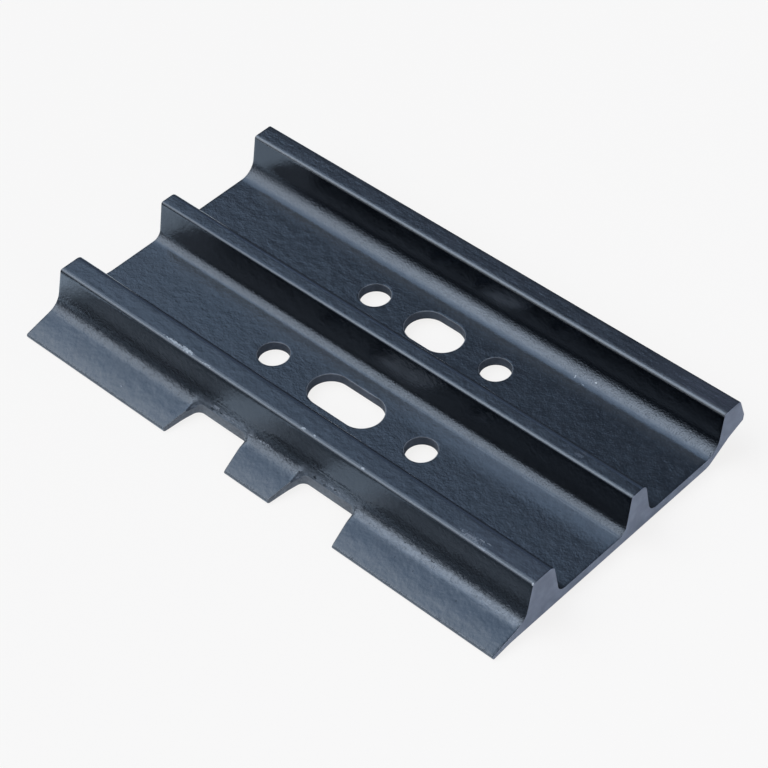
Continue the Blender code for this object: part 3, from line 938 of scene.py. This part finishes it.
def makeFloor():
    half = studio["floor size"] / 2
    corners = [(x * half, y * half, studio["floor z"]) for x, y in ((-1, -1), (1, -1), (1, 1), (-1, 1))]
    mesh = bpy.data.meshes.new("floor")
    mesh.from_pydata(corners, [], [(0, 1, 2, 3)])
    floor = bpy.data.objects.new("floor", mesh)
    bpy.context.scene.collection.objects.link(floor)
    material, tree, shader, place = newMaterial("floorPaper")
    shader.inputs["Base Color"].default_value = studio["floor colour"]
    shader.inputs["Roughness"].default_value = studio["floor roughness"]
    shader.inputs["Specular IOR Level"].default_value = 0.0
    x, y, z = addNode(tree, "ShaderNodeSeparateXYZ", {0: place}).outputs
    beyondX = calc(tree, "MAXIMUM", calc(tree, "SUBTRACT", calc(tree, "ABSOLUTE", x), cadHigh.x), 0.0)
    middleY, halfY = (cadLow.y + cadHigh.y) / 2, (cadHigh.y - cadLow.y) / 2
    fromMiddle = calc(tree, "ABSOLUTE", calc(tree, "SUBTRACT", y, middleY))
    beyondY = calc(tree, "MAXIMUM", calc(tree, "SUBTRACT", fromMiddle, halfY), 0.0)
    beyond = calc(tree, "MAXIMUM", beyondX, beyondY)
    # far off, the paper in the shoe's gloss takes the dark far colour, a painted shade
    far = ramp(tree, beyond, *studio["paper far run"])
    far = calc(tree, "MAXIMUM", far, ramp(tree, x, cadLow.x, cadLow.x - studio["paper far left run"]))
    ray = addNode(tree, "ShaderNodeLightPath").outputs
    farGlint = calc(tree, "MULTIPLY", ray["Is Glossy Ray"], far)
    shade = blend(tree, farGlint, studio["floor colour"], studio["far colour"])
    tree.links.new(shade, shader.inputs["Base Color"])
    seen = calc(tree, "MAXIMUM", ray["Is Camera Ray"], ray["Is Transmission Ray"])
    seen = calc(tree, "MULTIPLY", seen, studio["paper share"])
    # In the shoe's own gloss the paper glows with painted light opposite the notches and left of the shoe;
    # elsewhere before the lip it is dimmer, a painted shadow of the lip
    level = calc(tree, "MULTIPLY", ramp(tree, y, *studio["paper front fade"]), studio["paper front level"])
    for centre in studio["notch light x"]:
        away = calc(tree, "ABSOLUTE", calc(tree, "SUBTRACT", x, centre))
        level = calc(tree, "MAXIMUM", level, ramp(tree, away, *studio["notch light half"]))
    glint = calc(tree, "MULTIPLY", level, ramp(tree, y, *studio["paper lit y"]))
    behind = ramp(tree, y, *studio["paper left behind y"])
    left = calc(tree, "MULTIPLY", ramp(tree, x, *studio["paper left x behind"]), behind)
    left = calc(tree, "MAXIMUM", ramp(tree, x, *studio["paper left x"]), left)
    left = calc(tree, "MULTIPLY", left, ramp(tree, x, *studio["paper left end x"]))
    glint = calc(tree, "MULTIPLY", ray["Is Glossy Ray"], calc(tree, "MAXIMUM", glint, left))
    seen = calc(tree, "MAXIMUM", seen, glint)
    shown = blend(tree, ray["Is Glossy Ray"], studio["paper white"], studio["paper glint"])
    extra = calc(tree, "MULTIPLY", left, studio["paper left gain"])
    extra = calc(tree, "MULTIPLY", extra, calc(tree, "SUBTRACT", 1.0, behind))
    strength = calc(tree, "ADD", calc(tree, "MULTIPLY", glint, extra), 1.0)
    white = addNode(tree, "ShaderNodeEmission", {"Color": shown, "Strength": strength}).outputs[0]
    mixed = addNode(tree, "ShaderNodeMixShader", {0: seen, 1: shader.outputs[0], 2: white}).outputs[0]
    tree.links.new(mixed, tree.nodes["Material Output"].inputs["Surface"])
    mesh.materials.append(material)


def makeAir():
    world = bpy.data.worlds.new("studioAir")
    world.use_nodes = True
    tree = world.node_tree
    way = addNode(tree, "ShaderNodeTexCoord").outputs["Generated"]
    x, y, z = addNode(tree, "ShaderNodeSeparateXYZ", {0: way}).outputs
    air = blend(tree, ramp(tree, z, *studio["air run"]), studio["air low"], studio["air high"])
    turn = calc(tree, "ARCTAN2", z, y)  # round the X axis, up from the rear
    slant = calc(tree, "MULTIPLY", calc(tree, "SUBTRACT", studio["sheet slant x"], x), studio["sheet slant"])
    turn = calc(tree, "ADD", turn, slant)
    rim = calc(tree, "MULTIPLY", ramp(tree, turn, *studio["sheet rim"]), studio["sheet rim share"])
    full = ramp(tree, turn, *studio["sheet back"])
    body = calc(tree, "MULTIPLY", full, 1 - studio["sheet rim share"])
    glow = calc(tree, "MULTIPLY", calc(tree, "ADD", rim, body), studio["sheet glow"])
    for value, edge in ((turn, "sheet front"), (x, "sheet left"), (x, "sheet right")):
        glow = calc(tree, "MULTIPLY", glow, ramp(tree, value, *studio[edge]))
    tint = blend(tree, full, studio["sheet rim colour"], studio["sheet colour"])
    sheet = addNode(tree, "ShaderNodeVectorMath", {0: tint, "Scale": glow}, operation="SCALE").outputs[0]
    light = addNode(tree, "ShaderNodeVectorMath", {0: air, 1: sheet}, operation="ADD").outputs[0]
    seen = addNode(tree, "ShaderNodeLightPath").outputs["Is Camera Ray"]
    tree.links.new(blend(tree, seen, light, studio["backdrop"]), tree.nodes["Background"].inputs["Color"])
    bpy.context.scene.world = world


def makeLamp(name, lamp):
    width, height = lamp["size"]
    data = bpy.data.lights.new(name, "AREA")
    data.shape = "RECTANGLE"
    data.size, data.size_y = width, height
    data.energy = lamp["radiance"] * pi * width * height
    data.color = lamp["colour"]
    thing = bpy.data.objects.new(name, data)
    back = Vector(lamp["from"]).normalized()
    side = back.cross(Vector(lamp["along"])).normalized()
    turned = Matrix((side.cross(back), side, back)).transposed()
    thing.matrix_world = Matrix.Translation(back * lamp["distance"]) @ turned.to_4x4()
    bpy.context.scene.collection.objects.link(thing)


def makeCamera():
    data = bpy.data.cameras.new("photoCamera")
    data.lens = camera["lens"]
    data.sensor_width = camera["sensor"]
    data.clip_start = camera["clip start"]
    eye = bpy.data.objects.new("photoCamera", data)
    eye.location = camera["place"]
    look = Vector(camera["aim"]) - Vector(camera["place"])
    eye.rotation_mode = "QUATERNION"
    eye.rotation_quaternion = look.to_track_quat("-Z", "Y") @ Quaternion((0, 0, 1), camera["roll"])
    bpy.context.scene.collection.objects.link(eye)
    bpy.context.scene.camera = eye


makeFloor()
makeAir()
for lampName, lamp in lamps.items():
    makeLamp(lampName, lamp)
makeCamera()
bpy.context.scene.view_settings.view_transform = "Standard"
print("studio ready")
